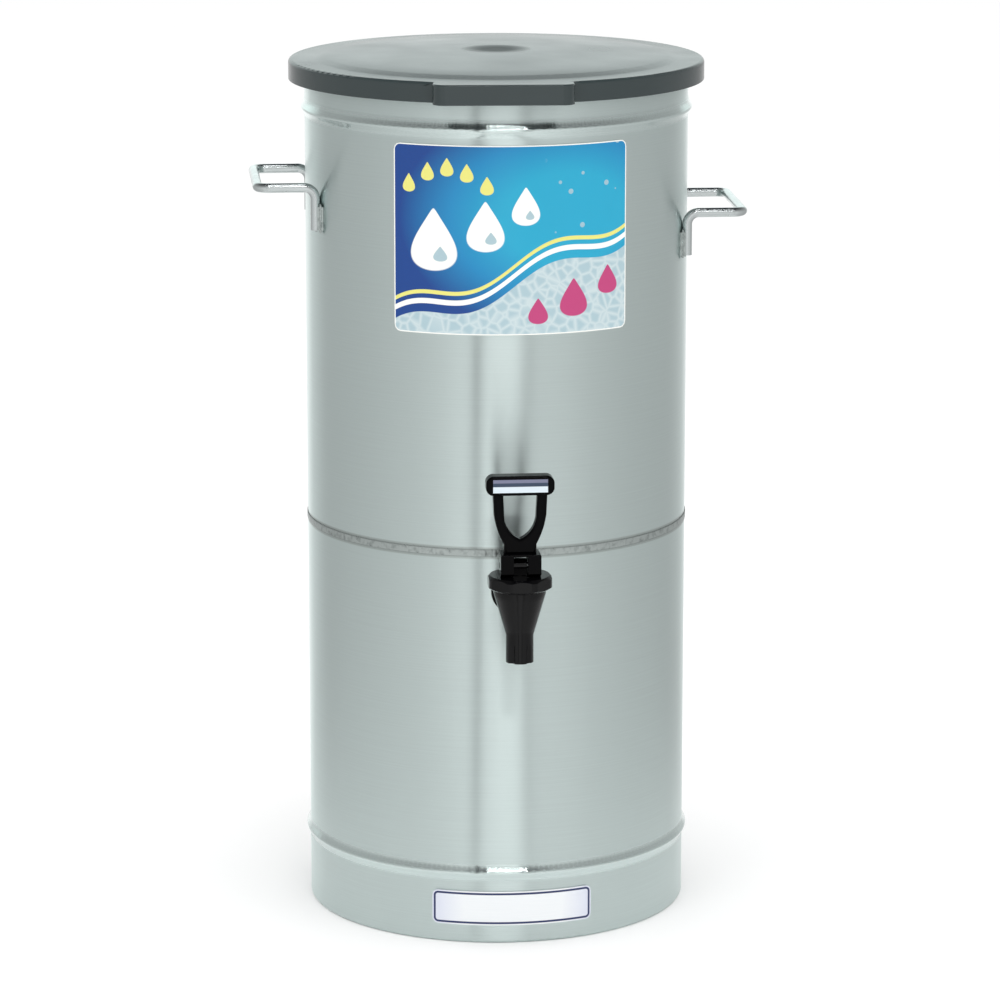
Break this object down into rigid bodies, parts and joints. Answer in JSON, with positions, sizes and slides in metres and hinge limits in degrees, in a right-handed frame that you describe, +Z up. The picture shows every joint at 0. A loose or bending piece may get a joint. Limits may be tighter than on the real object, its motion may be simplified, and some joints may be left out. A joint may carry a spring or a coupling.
{
  "type": "iced tea dispenser",
  "caption": "Tall stainless steel drinks dispenser with a loose tabbed lid, wire carrying handles and a self-closing lever tap at the front.",
  "frame": {"origin": "centre of the round base, on the surface that it stands on", "axes": "+Z up along the tank's axis, the tap and label face -Y, +X is to the right for someone facing the tap"},
  "size_m": [0.3264, 0.3296, 0.5774],
  "materials": {
    "brushed_stainless": "brushed round the body, satin",
    "stainless_weld": "ground weld, uneven satin",
    "stainless_wire": "electropolished wire, bright",
    "lid_plastic": "moulded dark grey, fine satin grain",
    "tap_plastic": "moulded black, glossy",
    "silicone": "moulded translucent grey silicone, matte",
    "spring_steel": "drawn stainless wire, bright",
    "washer_rubber": "moulded black rubber, matte",
    "decal_film": "printed vinyl film, satin gloss",
    "badge_plate": "bare satin aluminium with a thin dark blue border",
    "strip_film": "bare pale printed film, satin"
  },
  "bodies": {
    "dispenser": {"tank_shell": "brushed_stainless", "skirt_shell": "brushed_stainless", "tank_bottom": "brushed_stainless", "seam_weld": "stainless_weld", "back_seam_weld": "stainless_weld", "left_handle": "stainless_wire", "right_handle": "stainless_wire", "left_handle_welds": "stainless_weld", "right_handle_welds": "stainless_weld", "front_label": "decal_film", "base_badge": "badge_plate", "tap_body": "tap_plastic", "tap_bonnet": "tap_plastic", "outer_shank_washer": "washer_rubber", "inner_shank_washer": "washer_rubber", "shank_nut": "brushed_stainless", "valve_spring": "spring_steel"},
    "lid": {"lid": "lid_plastic"},
    "valve_stem": {"valve_stem": "tap_plastic", "seat_cup": "silicone"},
    "tap_handle": {"tap_handle": "tap_plastic", "handle_pin": "spring_steel", "name_strip": "strip_film"}
  },
  "joints": [
    {"name": "lid_lift", "type": "slide", "parent": "dispenser", "child": "lid", "axis": [0, 0, 1], "range_m": [0, 0.12]},
    {"name": "stem_lift", "type": "slide", "parent": "dispenser", "child": "valve_stem", "axis": [0, 0, 1], "range_m": [0, 0.0035], "deforming": ["valve_spring"]},
    {"name": "handle_tilt", "type": "hinge", "parent": "valve_stem", "child": "tap_handle", "pos_m": [0, -0.172, 0.2675], "axis": [1, 0, 0], "range_deg": [0, 40], "stiffness_Nm_per_rad": 0.1, "springref_deg": -17.19}
  ],
  "couplings": [
    {"joint": "stem_lift", "follows": "handle_tilt", "m_per_rad": 0.005}
  ]
}
